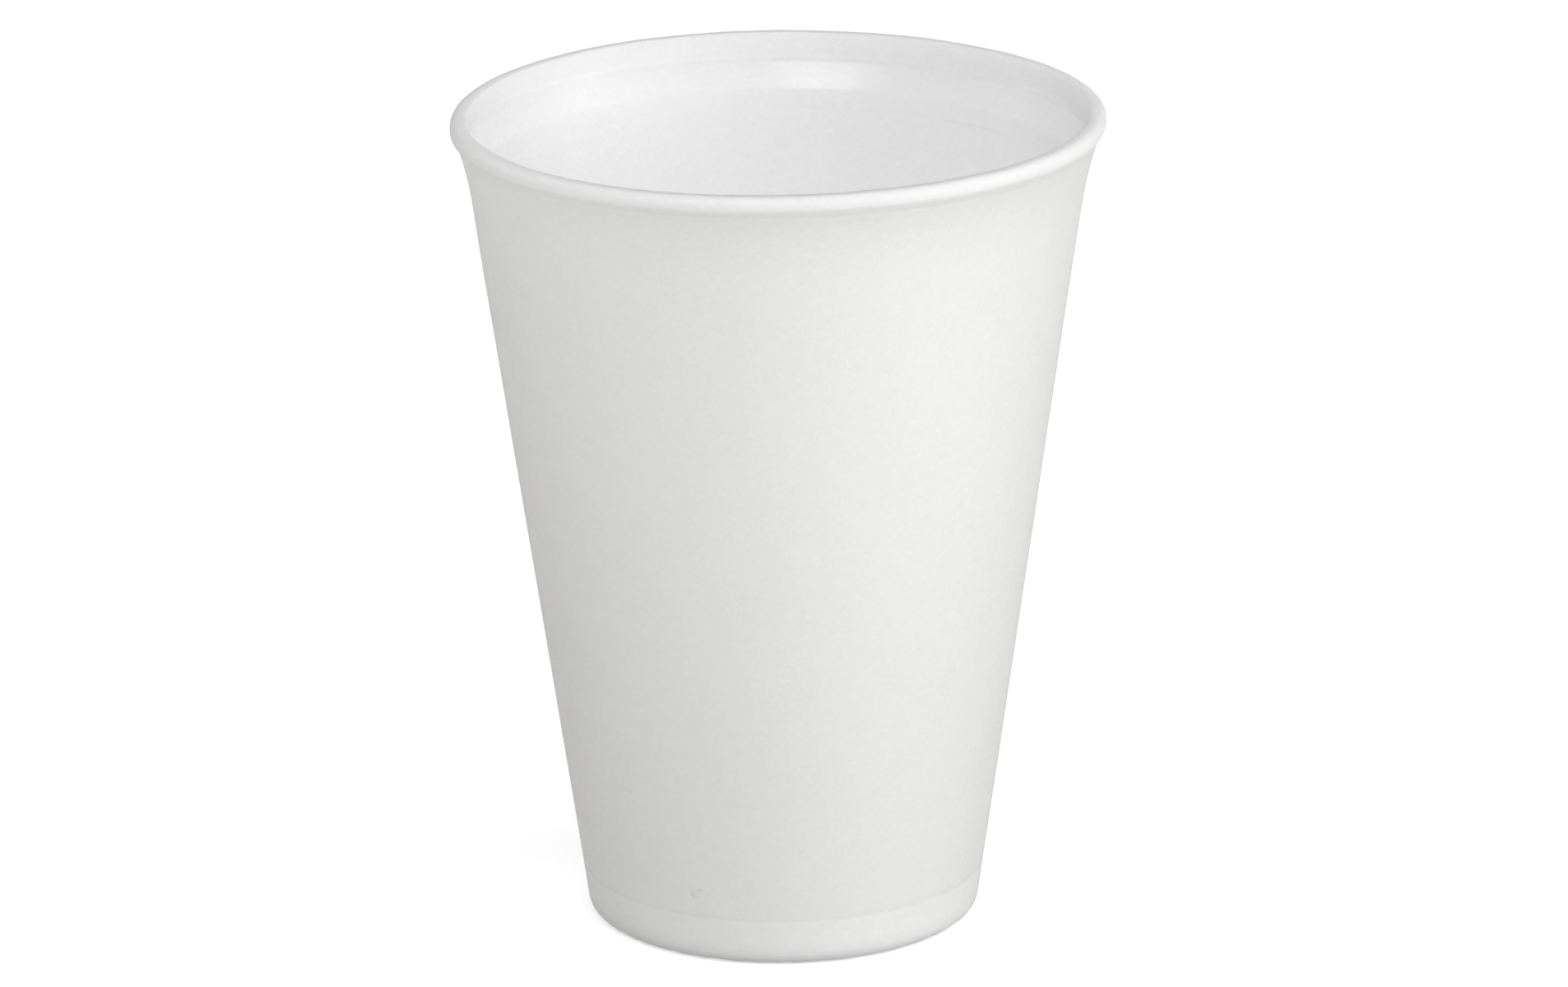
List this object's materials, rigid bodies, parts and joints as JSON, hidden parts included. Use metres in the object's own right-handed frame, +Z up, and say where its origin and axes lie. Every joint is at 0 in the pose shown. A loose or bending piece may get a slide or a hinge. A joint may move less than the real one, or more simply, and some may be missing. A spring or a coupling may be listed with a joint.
{
  "type": "foam cup",
  "caption": "Tapered disposable foam drinking cup with a rounded rim bead, a stacking ledge inside the mouth and a foot ring round a recessed base.",
  "frame": {"origin": "centre of the foot ring, on the surface that the cup stands on", "axes": "+Z up along the cup's axis, from the foot to the rim; the cup is round, so X and Y are any two level directions, with the viewer on the -Y side"},
  "size_m": [0.089, 0.089, 0.113],
  "materials": {
    "foam": "white expanded polystyrene foam, satin skin with a fine pattern of fused beads"
  },
  "bodies": {
    "root": {"cup": "foam"}
  },
  "joints": []
}
